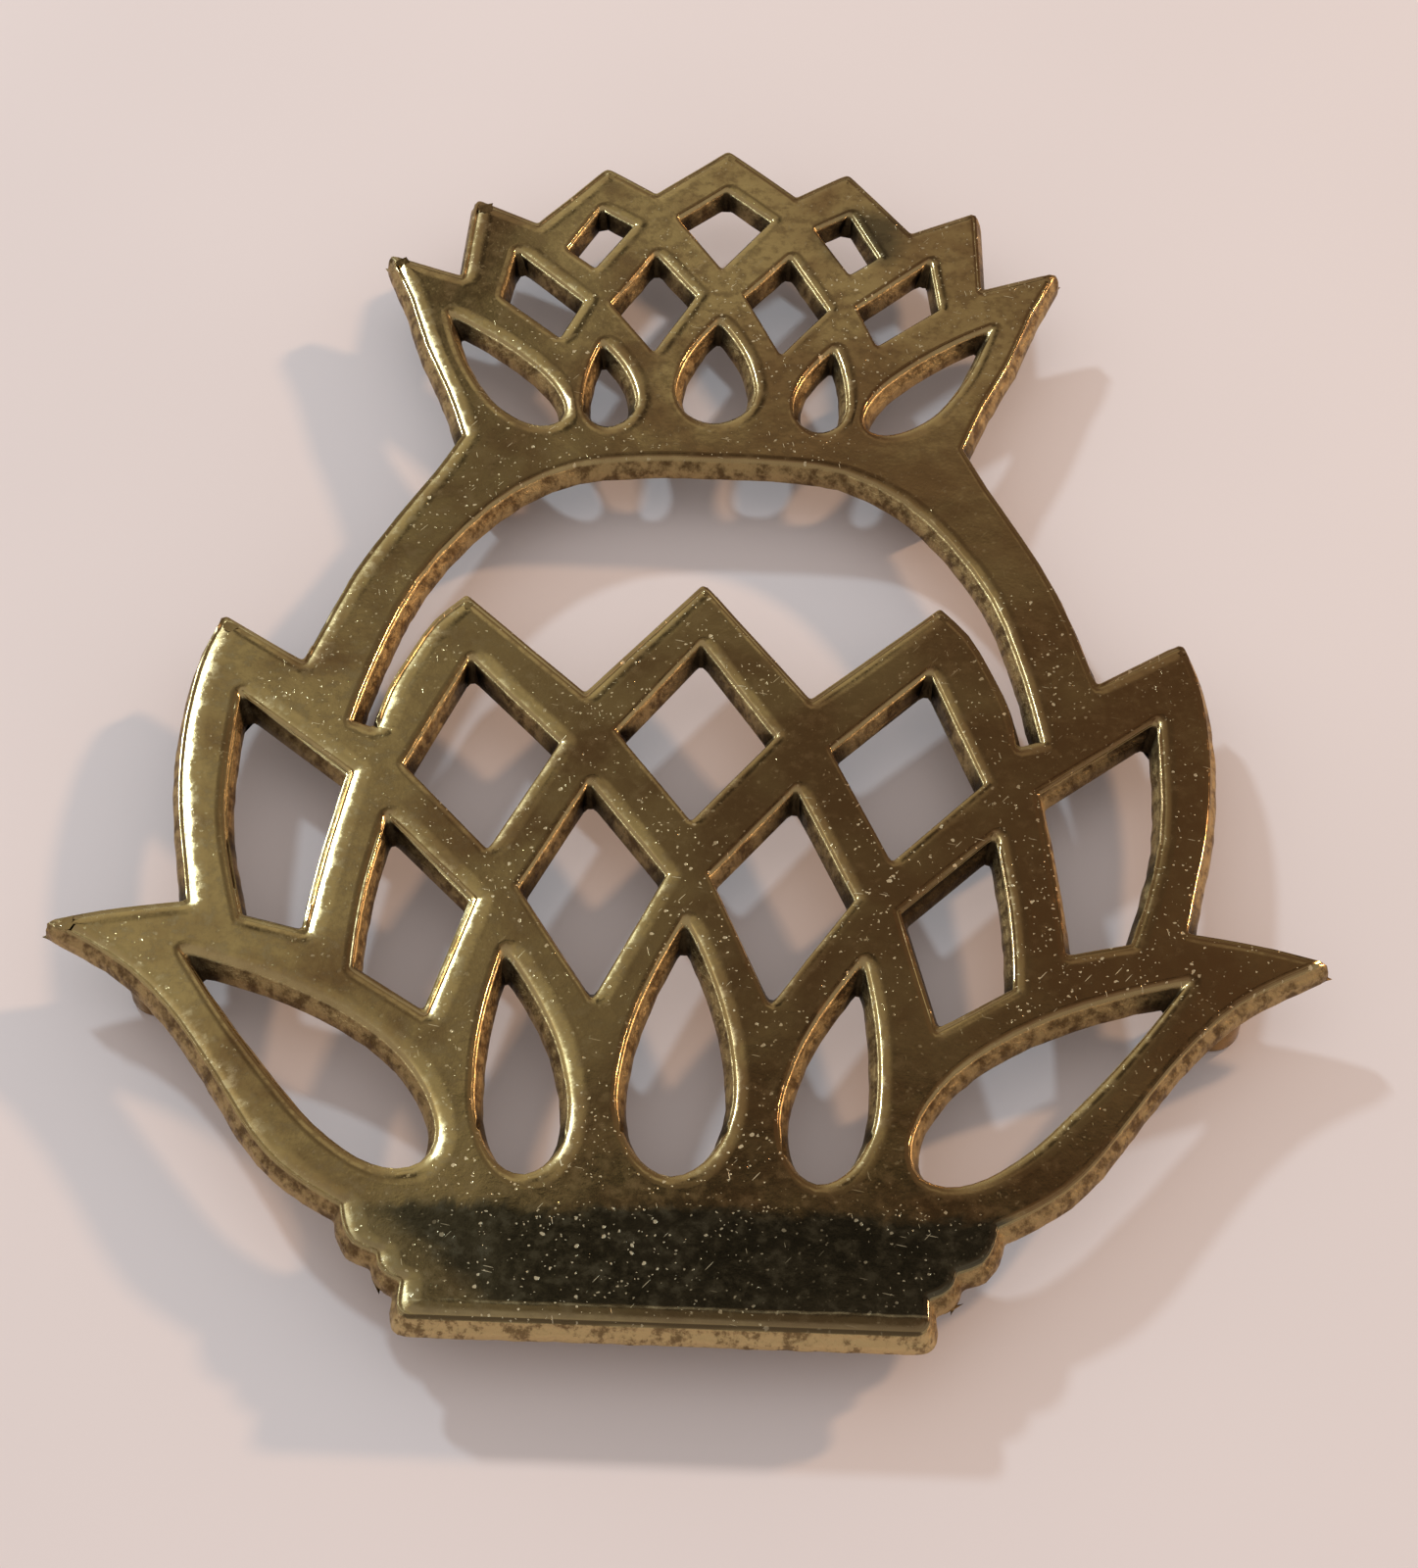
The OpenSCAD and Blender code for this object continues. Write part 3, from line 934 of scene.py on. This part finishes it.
class TRIVET_OT_stage(bpy.types.Operator):
    """Set the pale floor, the lamps, the sky and the camera"""

    bl_idname = "trivet.stage"
    bl_label = "Stage"

    def execute(self, context):
        settings = context.scene.trivet_stage
        bpy.ops.object.select_all(action="DESELECT")
        bpy.ops.mesh.primitive_plane_add(size=FLOOR_SIZE, location=(0, 0, 0))
        floor = context.view_layer.objects.active
        floor.name = "floor"
        edit(floor, "FACE")
        bpy.ops.mesh.select_all(action="SELECT")
        bpy.ops.mesh.subdivide(number_cuts=3)
        close()
        floor.data.materials.append(stone_floor(settings.floor_colour))
        self.lamp("cool_lamp", (-0.48, 0.60, 0.64), settings.cool_power, (0.66, 0.86, 1.0))
        self.lamp("warm_lamp", (0.71, 0.48, 0.52), settings.warm_power, (1.0, 0.66, 0.40))
        self.sky(context, settings)
        self.camera(context)
        context.scene.view_settings.view_transform = "Standard"
        return {"FINISHED"}

    def lamp(self, name, direction, power, colour):
        place = Vector(direction).normalized() * LAMP_DISTANCE
        bpy.ops.object.light_add(type="AREA", location=place)
        lamp = bpy.context.view_layer.objects.active
        lamp.name = name
        lamp.rotation_euler = place.to_track_quat("Z", "Y").to_euler()
        lamp.data.shape = "DISK"
        lamp.data.size = LAMP_SIZE
        lamp.data.energy = power
        lamp.data.color = colour

    def sky(self, context, settings):
        world = bpy.data.worlds.new("soft_sky")
        context.scene.world = world
        s = Shader(world)
        way = s.add("ShaderNodeTexCoord").outputs["Generated"]
        rise = s.add("ShaderNodeSeparateXYZ", {0: way}).outputs
        ragged = s.math("MULTIPLY_ADD", s.noise(way, 14.0, 4.0, 0.6), 0.02, -0.01)
        up = s.math("ADD", rise[2], ragged)
        # a dark flag hangs behind the crown, in a dim room that is bright on the left
        ahead = s.ramp(rise[1], 0.20, 0.40)
        flag = s.between(up, up, (0.826, 0.836), (0.850, 0.856))
        flag = s.math("MULTIPLY", flag, s.ramp(rise[0], -0.16, -0.07, 0.25, 1.0))
        sway = s.math("MULTIPLY_ADD", s.noise(way, 5.0, 3.0), 0.16, -0.08)
        side = s.math("ADD", rise[0], sway)
        dim = s.mix(s.ramp(side, -0.21, -0.05), (0.52, 0.49, 0.38), (0.21, 0.18, 0.14))
        dim = s.mix(s.ramp(side, 0.03, 0.16), dim, (0.25, 0.19, 0.14))
        dim = s.mix(s.ramp(side, 0.25, 0.45), dim, (0.20, 0.155, 0.12))
        dim = s.mix(s.ramp(side, -0.56, -0.34, 1.0, 0.0), dim, (1.05, 0.98, 0.74))
        # the crown mirrors a lower part of the room, dark at its left
        below = s.ramp(rise[2], 0.68, 0.73, 1.0, 0.0)
        far = s.mix(s.ramp(side, -0.12, -0.05), (0.09, 0.08, 0.065), (0.54, 0.50, 0.39))
        far = s.mix(s.ramp(side, 0.12, 0.22), far, (0.26, 0.21, 0.16))
        far = s.mix(s.ramp(side, -0.26, -0.17, 1.0, 0.0), far, (0.50, 0.47, 0.36))
        far = s.mix(s.ramp(side, -0.56, -0.34, 1.0, 0.0), far, (1.05, 0.98, 0.74))
        dim = s.mix(below, dim, far)
        across = s.ramp(side, -0.10, 0.15)
        horizon = s.mix(across, (0.62, 0.58, 0.44), (0.26, 0.20, 0.15))
        dim = s.mix(s.ramp(rise[2], 0.52, 0.60, 1.0, 0.0), dim, horizon)
        room = s.mix(ahead, (0.50, 0.47, 0.43), dim)
        room = s.mix(s.math("MULTIPLY", flag, ahead), room, (0.03, 0.03, 0.03))
        rays = s.add("ShaderNodeLightPath").outputs
        seen = s.mix(rays["Is Camera Ray"], room, (0.80, 0.77, 0.75))
        # the soft light comes more from the camera's side than from behind the crown
        behind = s.ramp(rise[1], -0.5, 0.4, smooth=False)
        around = s.mix(behind, (1.35, 1.32, 1.31), (0.78, 0.77, 0.76))
        diffuse = rays["Is Diffuse Ray"]
        soft = s.mix(diffuse, seen, around)
        level = s.math("MULTIPLY_ADD", diffuse, settings.sky_strength - 1.0, 1.0)
        back = s.add("ShaderNodeBackground", {"Color": soft, "Strength": level})
        s.add("ShaderNodeOutputWorld", {"Surface": back.outputs[0]})

    def camera(self, context):
        bpy.ops.object.camera_add(location=(0.015953, -0.370875, 0.424968))
        camera = context.view_layer.objects.active
        camera.name = "photo_camera"
        camera.rotation_euler = [radians(a) for a in (40.0, -0.0662, 2.3193)]
        camera.data.sensor_fit = "HORIZONTAL"
        camera.data.sensor_width = 36
        camera.data.lens = 89.5646
        context.scene.camera = camera


class TRIVET_PT_panel(bpy.types.Panel):
    """Settings and steps of the trivet"""

    bl_idname = "TRIVET_PT_panel"
    bl_label = "Trivet"
    bl_space_type = "VIEW_3D"
    bl_region_type = "UI"
    bl_category = "Trivet"

    def draw(self, context):
        layout = self.layout
        scene = context.scene
        for settings, step in (
            (scene.trivet_casting, "trivet.casting"),
            (scene.trivet_feet, "trivet.feet"),
            (scene.trivet_stage, "trivet.stage"),
        ):
            column = layout.box().column()
            for name in settings.__annotations__:
                column.prop(settings, name)
            column.operator(step)


CLASSES = (
    CastingSettings,
    FootSettings,
    StageSettings,
    TRIVET_OT_casting,
    TRIVET_OT_feet,
    TRIVET_OT_stage,
    TRIVET_PT_panel,
)


def register():
    for item in CLASSES:
        bpy.utils.register_class(item)
    bpy.types.Scene.trivet_casting = bpy.props.PointerProperty(type=CastingSettings)
    bpy.types.Scene.trivet_feet = bpy.props.PointerProperty(type=FootSettings)
    bpy.types.Scene.trivet_stage = bpy.props.PointerProperty(type=StageSettings)


def unregister():
    del bpy.types.Scene.trivet_stage
    del bpy.types.Scene.trivet_feet
    del bpy.types.Scene.trivet_casting
    for item in reversed(CLASSES):
        bpy.utils.unregister_class(item)


def main():
    """Builds the whole scene."""
    register()
    bpy.ops.trivet.casting()
    bpy.ops.trivet.feet()
    bpy.ops.trivet.stage()


if __name__ == "__main__":
    main()
